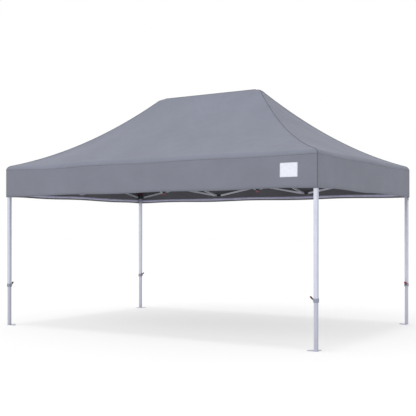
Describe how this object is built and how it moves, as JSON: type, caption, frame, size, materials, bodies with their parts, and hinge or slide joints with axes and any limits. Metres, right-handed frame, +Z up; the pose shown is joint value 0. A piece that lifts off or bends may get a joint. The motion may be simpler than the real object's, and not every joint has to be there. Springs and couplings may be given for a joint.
{
  "type": "tent on poles",
  "caption": "Folding canopy tent on telescopic legs with scissor trusses, ridge masts and a fabric roof with a valance.",
  "frame": {"origin": "on the ground, in the middle of the tent's plan", "axes": "+X along the long side towards the right, +Y towards the back, +Z up"},
  "size_m": [4.608, 3.0332, 3.143],
  "materials": {
    "outer_leg": "satin",
    "inner_leg": "satin",
    "bar_silver": "satin",
    "mast_tube": "satin",
    "dark_plastic": "satin",
    "lever_plastic": "satin",
    "roof_fabric": "matte",
    "valance_fabric": "matte",
    "patch_fabric": "matte",
    "strap_webbing": "matte"
  },
  "bodies": {
    "mast_guide_left": {"mast_guide_left": "dark_plastic", "canopy_roof": "roof_fabric", "canopy_valance": "valance_fabric", "sewn_patch": "patch_fabric", "corner_strap": "strap_webbing"},
    "cross_bar_left_front_b": {"cross_bar_left_front_b": "bar_silver"},
    "cross_bar_left_back_a": {"cross_bar_left_back_a": "bar_silver"},
    "cross_bar_left_back_b": {"cross_bar_left_back_b": "bar_silver"},
    "lower_joint_back_left": {"lower_joint_back_left": "dark_plastic"},
    "cross_bar_left_front_a": {"cross_bar_left_front_a": "bar_silver"},
    "lower_joint_front_left": {"lower_joint_front_left": "dark_plastic"},
    "mast_left": {"mast_left": "mast_tube"},
    "upper_joint_back_left": {"upper_joint_back_left": "dark_plastic"},
    "back_bar_left_a": {"back_bar_left_a": "bar_silver"},
    "back_bar_middle_b": {"back_bar_middle_b": "bar_silver"},
    "upper_joint_front_left": {"upper_joint_front_left": "dark_plastic"},
    "front_bar_left_a": {"front_bar_left_a": "bar_silver"},
    "front_bar_middle_b": {"front_bar_middle_b": "bar_silver"},
    "back_bar_left_b": {"back_bar_left_b": "bar_silver"},
    "back_bar_middle_a": {"back_bar_middle_a": "bar_silver"},
    "outer_leg_back_left": {"outer_leg_back_left": "outer_leg"},
    "upper_joint_back_right": {"upper_joint_back_right": "dark_plastic"},
    "front_bar_left_b": {"front_bar_left_b": "bar_silver"},
    "front_bar_middle_a": {"front_bar_middle_a": "bar_silver"},
    "outer_leg_front_left": {"outer_leg_front_left": "outer_leg"},
    "upper_joint_front_right": {"upper_joint_front_right": "dark_plastic"},
    "leg_slider_back_left": {"leg_slider_back_left": "dark_plastic"},
    "lower_joint_back_right": {"lower_joint_back_right": "dark_plastic"},
    "left_bar_back_b": {"left_bar_back_b": "bar_silver"},
    "back_bar_right_a": {"back_bar_right_a": "bar_silver"},
    "cross_bar_right_back_b": {"cross_bar_right_back_b": "bar_silver"},
    "leg_slider_front_left": {"leg_slider_front_left": "dark_plastic"},
    "lower_joint_front_right": {"lower_joint_front_right": "dark_plastic"},
    "left_bar_front_a": {"left_bar_front_a": "bar_silver"},
    "cross_bar_right_front_a": {"cross_bar_right_front_a": "bar_silver"},
    "front_bar_right_a": {"front_bar_right_a": "bar_silver"},
    "left_bar_back_a": {"left_bar_back_a": "bar_silver"},
    "back_bar_right_b": {"back_bar_right_b": "bar_silver"},
    "cross_bar_right_back_a": {"cross_bar_right_back_a": "bar_silver"},
    "leg_slider_back_right": {"leg_slider_back_right": "dark_plastic"},
    "mast_right": {"mast_right": "mast_tube"},
    "left_bar_front_b": {"left_bar_front_b": "bar_silver"},
    "cross_bar_right_front_b": {"cross_bar_right_front_b": "bar_silver"},
    "front_bar_right_b": {"front_bar_right_b": "bar_silver"},
    "leg_slider_front_right": {"leg_slider_front_right": "dark_plastic"},
    "outer_leg_back_right": {"outer_leg_back_right": "outer_leg"},
    "mast_guide_right": {"mast_guide_right": "dark_plastic"},
    "right_bar_back_a": {"right_bar_back_a": "bar_silver"},
    "outer_leg_front_right": {"outer_leg_front_right": "outer_leg"},
    "right_bar_front_b": {"right_bar_front_b": "bar_silver"},
    "right_bar_back_b": {"right_bar_back_b": "bar_silver"},
    "right_bar_front_a": {"right_bar_front_a": "bar_silver"},
    "inner_leg_front_left": {"inner_leg_front_left": "inner_leg"},
    "lock_lever_front_left": {"lock_lever_front_left": "lever_plastic"},
    "inner_leg_front_right": {"inner_leg_front_right": "inner_leg"},
    "lock_lever_front_right": {"lock_lever_front_right": "lever_plastic"},
    "inner_leg_back_left": {"inner_leg_back_left": "inner_leg"},
    "lock_lever_back_left": {"lock_lever_back_left": "lever_plastic"},
    "inner_leg_back_right": {"inner_leg_back_right": "inner_leg"},
    "lock_lever_back_right": {"lock_lever_back_right": "lever_plastic"}
  },
  "joints": [
    {"name": "fold", "type": "hinge", "parent": "mast_guide_left", "child": "cross_bar_left_front_b", "pos_m": [-0.75, -0.029, 2.085], "axis": [1, 0, 0], "range_deg": [0, 73.5], "deforming": ["canopy_roof", "canopy_valance", "sewn_patch", "corner_strap"]},
    {"name": "cross_bar_left_back_a_fold", "type": "hinge", "parent": "mast_guide_left", "child": "cross_bar_left_back_a", "pos_m": [-0.75, 0.029, 2.085], "axis": [1, 0, 0], "range_deg": [-74, 0.5]},
    {"name": "cross_bar_left_back_b_fold", "type": "hinge", "parent": "cross_bar_left_back_a", "child": "cross_bar_left_back_b", "pos_m": [-0.75, 0.741, 1.9575], "axis": [1, 0, 0], "range_deg": [-0.5, 147.5]},
    {"name": "lower_joint_back_left_fold", "type": "hinge", "parent": "cross_bar_left_back_a", "child": "lower_joint_back_left", "pos_m": [-0.75, 1.453, 1.83], "axis": [1, 0, 0], "range_deg": [-0.5, 74]},
    {"name": "cross_bar_left_front_a_fold", "type": "hinge", "parent": "cross_bar_left_front_b", "child": "cross_bar_left_front_a", "pos_m": [-0.75, -0.741, 1.9575], "axis": [1, 0, 0], "range_deg": [-147.5, 0.5]},
    {"name": "lower_joint_front_left_fold", "type": "hinge", "parent": "cross_bar_left_front_b", "child": "lower_joint_front_left", "pos_m": [-0.75, -1.453, 1.83], "axis": [1, 0, 0], "range_deg": [-74, 0.5]},
    {"name": "mast_left_fold", "type": "hinge", "parent": "cross_bar_left_back_b", "child": "mast_left", "pos_m": [-0.75, 0.029, 1.83], "axis": [1, 0, 0], "range_deg": [-74, 0.5]},
    {"name": "upper_joint_back_left_fold", "type": "hinge", "parent": "cross_bar_left_back_b", "child": "upper_joint_back_left", "pos_m": [-0.75, 1.453, 2.085], "axis": [1, 0, 0], "range_deg": [-74, 0.5]},
    {"name": "back_bar_left_a_fold", "type": "hinge", "parent": "lower_joint_back_left", "child": "back_bar_left_a", "pos_m": [-0.788, 1.482, 1.83], "axis": [0, 1, 0], "range_deg": [-0.5, 74]},
    {"name": "back_bar_middle_b_fold", "type": "hinge", "parent": "lower_joint_back_left", "child": "back_bar_middle_b", "pos_m": [-0.712, 1.482, 1.83], "axis": [0, 1, 0], "range_deg": [-74, 0.5]},
    {"name": "upper_joint_front_left_fold", "type": "hinge", "parent": "cross_bar_left_front_a", "child": "upper_joint_front_left", "pos_m": [-0.75, -1.453, 2.085], "axis": [1, 0, 0], "range_deg": [-0.5, 74]},
    {"name": "front_bar_left_a_fold", "type": "hinge", "parent": "lower_joint_front_left", "child": "front_bar_left_a", "pos_m": [-0.788, -1.482, 1.83], "axis": [0, 1, 0], "range_deg": [-0.5, 74]},
    {"name": "front_bar_middle_b_fold", "type": "hinge", "parent": "lower_joint_front_left", "child": "front_bar_middle_b", "pos_m": [-0.712, -1.482, 1.83], "axis": [0, 1, 0], "range_deg": [-74, 0.5]},
    {"name": "back_bar_left_b_fold", "type": "hinge", "parent": "upper_joint_back_left", "child": "back_bar_left_b", "pos_m": [-0.788, 1.482, 2.085], "axis": [0, 1, 0], "range_deg": [-74, 0.5]},
    {"name": "back_bar_middle_a_fold", "type": "hinge", "parent": "upper_joint_back_left", "child": "back_bar_middle_a", "pos_m": [-0.712, 1.482, 2.085], "axis": [0, 1, 0], "range_deg": [-0.5, 74]},
    {"name": "outer_leg_back_left_fold", "type": "hinge", "parent": "back_bar_left_a", "child": "outer_leg_back_left", "pos_m": [-2.212, 1.482, 2.085], "axis": [0, 1, 0], "range_deg": [-74, 0.5]},
    {"name": "upper_joint_back_right_fold", "type": "hinge", "parent": "back_bar_middle_b", "child": "upper_joint_back_right", "pos_m": [0.712, 1.482, 2.085], "axis": [0, 1, 0], "range_deg": [-0.5, 74]},
    {"name": "front_bar_left_b_fold", "type": "hinge", "parent": "upper_joint_front_left", "child": "front_bar_left_b", "pos_m": [-0.788, -1.482, 2.085], "axis": [0, 1, 0], "range_deg": [-74, 0.5]},
    {"name": "front_bar_middle_a_fold", "type": "hinge", "parent": "upper_joint_front_left", "child": "front_bar_middle_a", "pos_m": [-0.712, -1.482, 2.085], "axis": [0, 1, 0], "range_deg": [-0.5, 74]},
    {"name": "outer_leg_front_left_fold", "type": "hinge", "parent": "front_bar_left_a", "child": "outer_leg_front_left", "pos_m": [-2.212, -1.482, 2.085], "axis": [0, 1, 0], "range_deg": [-74, 0.5]},
    {"name": "upper_joint_front_right_fold", "type": "hinge", "parent": "front_bar_middle_b", "child": "upper_joint_front_right", "pos_m": [0.712, -1.482, 2.085], "axis": [0, 1, 0], "range_deg": [-0.5, 74]},
    {"name": "leg_slider_back_left_fold", "type": "hinge", "parent": "back_bar_left_b", "child": "leg_slider_back_left", "pos_m": [-2.212, 1.482, 1.83], "axis": [0, 1, 0], "range_deg": [-0.5, 74]},
    {"name": "lower_joint_back_right_fold", "type": "hinge", "parent": "back_bar_middle_a", "child": "lower_joint_back_right", "pos_m": [0.712, 1.482, 1.83], "axis": [0, 1, 0], "range_deg": [-74, 0.5]},
    {"name": "left_bar_back_b_fold", "type": "hinge", "parent": "outer_leg_back_left", "child": "left_bar_back_b", "pos_m": [-2.27, 1.424, 2.085], "axis": [1, 0, 0], "range_deg": [-0.5, 74]},
    {"name": "back_bar_right_a_fold", "type": "hinge", "parent": "upper_joint_back_right", "child": "back_bar_right_a", "pos_m": [0.788, 1.482, 2.085], "axis": [0, 1, 0], "range_deg": [-0.5, 74]},
    {"name": "cross_bar_right_back_b_fold", "type": "hinge", "parent": "upper_joint_back_right", "child": "cross_bar_right_back_b", "pos_m": [0.75, 1.453, 2.085], "axis": [1, 0, 0], "range_deg": [-0.5, 74]},
    {"name": "leg_slider_front_left_fold", "type": "hinge", "parent": "front_bar_left_b", "child": "leg_slider_front_left", "pos_m": [-2.212, -1.482, 1.83], "axis": [0, 1, 0], "range_deg": [-0.5, 74]},
    {"name": "lower_joint_front_right_fold", "type": "hinge", "parent": "front_bar_middle_a", "child": "lower_joint_front_right", "pos_m": [0.712, -1.482, 1.83], "axis": [0, 1, 0], "range_deg": [-74, 0.5]},
    {"name": "left_bar_front_a_fold", "type": "hinge", "parent": "outer_leg_front_left", "child": "left_bar_front_a", "pos_m": [-2.27, -1.424, 2.085], "axis": [1, 0, 0], "range_deg": [-74, 0.5]},
    {"name": "cross_bar_right_front_a_fold", "type": "hinge", "parent": "upper_joint_front_right", "child": "cross_bar_right_front_a", "pos_m": [0.75, -1.453, 2.085], "axis": [1, 0, 0], "range_deg": [-74, 0.5]},
    {"name": "front_bar_right_a_fold", "type": "hinge", "parent": "upper_joint_front_right", "child": "front_bar_right_a", "pos_m": [0.788, -1.482, 2.085], "axis": [0, 1, 0], "range_deg": [-0.5, 74]},
    {"name": "left_bar_back_a_fold", "type": "hinge", "parent": "leg_slider_back_left", "child": "left_bar_back_a", "pos_m": [-2.27, 1.424, 1.83], "axis": [1, 0, 0], "range_deg": [-74, 0.5]},
    {"name": "back_bar_right_b_fold", "type": "hinge", "parent": "lower_joint_back_right", "child": "back_bar_right_b", "pos_m": [0.788, 1.482, 1.83], "axis": [0, 1, 0], "range_deg": [-74, 0.5]},
    {"name": "cross_bar_right_back_a_fold", "type": "hinge", "parent": "lower_joint_back_right", "child": "cross_bar_right_back_a", "pos_m": [0.75, 1.453, 1.83], "axis": [1, 0, 0], "range_deg": [-74, 0.5]},
    {"name": "leg_slider_back_right_fold", "type": "hinge", "parent": "back_bar_right_a", "child": "leg_slider_back_right", "pos_m": [2.212, 1.482, 1.83], "axis": [0, 1, 0], "range_deg": [-74, 0.5]},
    {"name": "mast_right_fold", "type": "hinge", "parent": "cross_bar_right_back_b", "child": "mast_right", "pos_m": [0.75, 0.029, 1.83], "axis": [1, 0, 0], "range_deg": [-74, 0.5]},
    {"name": "left_bar_front_b_fold", "type": "hinge", "parent": "leg_slider_front_left", "child": "left_bar_front_b", "pos_m": [-2.27, -1.424, 1.83], "axis": [1, 0, 0], "range_deg": [-0.5, 74]},
    {"name": "cross_bar_right_front_b_fold", "type": "hinge", "parent": "lower_joint_front_right", "child": "cross_bar_right_front_b", "pos_m": [0.75, -1.453, 1.83], "axis": [1, 0, 0], "range_deg": [-0.5, 74]},
    {"name": "front_bar_right_b_fold", "type": "hinge", "parent": "lower_joint_front_right", "child": "front_bar_right_b", "pos_m": [0.788, -1.482, 1.83], "axis": [0, 1, 0], "range_deg": [-74, 0.5]},
    {"name": "leg_slider_front_right_fold", "type": "hinge", "parent": "front_bar_right_a", "child": "leg_slider_front_right", "pos_m": [2.212, -1.482, 1.83], "axis": [0, 1, 0], "range_deg": [-74, 0.5]},
    {"name": "outer_leg_back_right_fold", "type": "hinge", "parent": "back_bar_right_b", "child": "outer_leg_back_right", "pos_m": [2.212, 1.482, 2.085], "axis": [0, 1, 0], "range_deg": [-0.5, 74]},
    {"name": "mast_guide_right_fold", "type": "hinge", "parent": "cross_bar_right_back_a", "child": "mast_guide_right", "pos_m": [0.75, 0.029, 2.085], "axis": [1, 0, 0], "range_deg": [-0.5, 74]},
    {"name": "right_bar_back_a_fold", "type": "hinge", "parent": "leg_slider_back_right", "child": "right_bar_back_a", "pos_m": [2.27, 1.424, 1.83], "axis": [1, 0, 0], "range_deg": [-74, 0.5]},
    {"name": "outer_leg_front_right_fold", "type": "hinge", "parent": "front_bar_right_b", "child": "outer_leg_front_right", "pos_m": [2.212, -1.482, 2.085], "axis": [0, 1, 0], "range_deg": [-0.5, 74]},
    {"name": "right_bar_front_b_fold", "type": "hinge", "parent": "leg_slider_front_right", "child": "right_bar_front_b", "pos_m": [2.27, -1.424, 1.83], "axis": [1, 0, 0], "range_deg": [-0.5, 74]},
    {"name": "right_bar_back_b_fold", "type": "hinge", "parent": "outer_leg_back_right", "child": "right_bar_back_b", "pos_m": [2.27, 1.424, 2.085], "axis": [1, 0, 0], "range_deg": [-0.5, 74]},
    {"name": "right_bar_front_a_fold", "type": "hinge", "parent": "outer_leg_front_right", "child": "right_bar_front_a", "pos_m": [2.27, -1.424, 2.085], "axis": [1, 0, 0], "range_deg": [-74, 0.5]},
    {"name": "leg_height_front_left", "type": "slide", "parent": "outer_leg_front_left", "child": "inner_leg_front_left", "axis": [0, 0, 1], "range_m": [-0.2, 0.5]},
    {"name": "lock_lever_front_left", "type": "hinge", "parent": "outer_leg_front_left", "child": "lock_lever_front_left", "pos_m": [-2.27, -1.451, 0.546], "axis": [-1, 0, 0], "range_deg": [0, 35], "stiffness_Nm_per_rad": 0.3, "springref_deg": -17.19},
    {"name": "leg_height_front_right", "type": "slide", "parent": "outer_leg_front_right", "child": "inner_leg_front_right", "axis": [0, 0, 1], "range_m": [-0.2, 0.5]},
    {"name": "lock_lever_front_right", "type": "hinge", "parent": "outer_leg_front_right", "child": "lock_lever_front_right", "pos_m": [2.239, -1.482, 0.546], "axis": [0, -1, 0], "range_deg": [0, 35], "stiffness_Nm_per_rad": 0.3, "springref_deg": -17.19},
    {"name": "leg_height_back_left", "type": "slide", "parent": "outer_leg_back_left", "child": "inner_leg_back_left", "axis": [0, 0, 1], "range_m": [-0.2, 0.5]},
    {"name": "lock_lever_back_left", "type": "hinge", "parent": "outer_leg_back_left", "child": "lock_lever_back_left", "pos_m": [-2.239, 1.482, 0.546], "axis": [0, 1, 0], "range_deg": [0, 35], "stiffness_Nm_per_rad": 0.3, "springref_deg": -17.19},
    {"name": "leg_height_back_right", "type": "slide", "parent": "outer_leg_back_right", "child": "inner_leg_back_right", "axis": [0, 0, 1], "range_m": [-0.2, 0.5]},
    {"name": "lock_lever_back_right", "type": "hinge", "parent": "outer_leg_back_right", "child": "lock_lever_back_right", "pos_m": [2.27, 1.451, 0.546], "axis": [1, 0, 0], "range_deg": [0, 35], "stiffness_Nm_per_rad": 0.3, "springref_deg": -17.19}
  ],
  "couplings": [
    {"joint": "cross_bar_left_back_a_fold", "follows": "fold", "ratio": -1},
    {"joint": "cross_bar_left_back_b_fold", "follows": "fold", "ratio": 2},
    {"joint": "lower_joint_back_left_fold", "follows": "fold", "ratio": 1},
    {"joint": "cross_bar_left_front_a_fold", "follows": "fold", "ratio": -2},
    {"joint": "lower_joint_front_left_fold", "follows": "fold", "ratio": -1},
    {"joint": "mast_left_fold", "follows": "fold", "ratio": -1},
    {"joint": "upper_joint_back_left_fold", "follows": "fold", "ratio": -1},
    {"joint": "back_bar_left_a_fold", "follows": "fold", "ratio": 1},
    {"joint": "back_bar_middle_b_fold", "follows": "fold", "ratio": -1},
    {"joint": "upper_joint_front_left_fold", "follows": "fold", "ratio": 1},
    {"joint": "front_bar_left_a_fold", "follows": "fold", "ratio": 1},
    {"joint": "front_bar_middle_b_fold", "follows": "fold", "ratio": -1},
    {"joint": "back_bar_left_b_fold", "follows": "fold", "ratio": -1},
    {"joint": "back_bar_middle_a_fold", "follows": "fold", "ratio": 1},
    {"joint": "outer_leg_back_left_fold", "follows": "fold", "ratio": -1},
    {"joint": "upper_joint_back_right_fold", "follows": "fold", "ratio": 1},
    {"joint": "front_bar_left_b_fold", "follows": "fold", "ratio": -1},
    {"joint": "front_bar_middle_a_fold", "follows": "fold", "ratio": 1},
    {"joint": "outer_leg_front_left_fold", "follows": "fold", "ratio": -1},
    {"joint": "upper_joint_front_right_fold", "follows": "fold", "ratio": 1},
    {"joint": "leg_slider_back_left_fold", "follows": "fold", "ratio": 1},
    {"joint": "lower_joint_back_right_fold", "follows": "fold", "ratio": -1},
    {"joint": "left_bar_back_b_fold", "follows": "fold", "ratio": 1},
    {"joint": "back_bar_right_a_fold", "follows": "fold", "ratio": 1},
    {"joint": "cross_bar_right_back_b_fold", "follows": "fold", "ratio": 1},
    {"joint": "leg_slider_front_left_fold", "follows": "fold", "ratio": 1},
    {"joint": "lower_joint_front_right_fold", "follows": "fold", "ratio": -1},
    {"joint": "left_bar_front_a_fold", "follows": "fold", "ratio": -1},
    {"joint": "cross_bar_right_front_a_fold", "follows": "fold", "ratio": -1},
    {"joint": "front_bar_right_a_fold", "follows": "fold", "ratio": 1},
    {"joint": "left_bar_back_a_fold", "follows": "fold", "ratio": -1},
    {"joint": "back_bar_right_b_fold", "follows": "fold", "ratio": -1},
    {"joint": "cross_bar_right_back_a_fold", "follows": "fold", "ratio": -1},
    {"joint": "leg_slider_back_right_fold", "follows": "fold", "ratio": -1},
    {"joint": "mast_right_fold", "follows": "fold", "ratio": -1},
    {"joint": "left_bar_front_b_fold", "follows": "fold", "ratio": 1},
    {"joint": "cross_bar_right_front_b_fold", "follows": "fold", "ratio": 1},
    {"joint": "front_bar_right_b_fold", "follows": "fold", "ratio": -1},
    {"joint": "leg_slider_front_right_fold", "follows": "fold", "ratio": -1},
    {"joint": "outer_leg_back_right_fold", "follows": "fold", "ratio": 1},
    {"joint": "mast_guide_right_fold", "follows": "fold", "ratio": 1},
    {"joint": "right_bar_back_a_fold", "follows": "fold", "ratio": -1},
    {"joint": "outer_leg_front_right_fold", "follows": "fold", "ratio": 1},
    {"joint": "right_bar_front_b_fold", "follows": "fold", "ratio": 1},
    {"joint": "right_bar_back_b_fold", "follows": "fold", "ratio": 1},
    {"joint": "right_bar_front_a_fold", "follows": "fold", "ratio": -1}
  ]
}
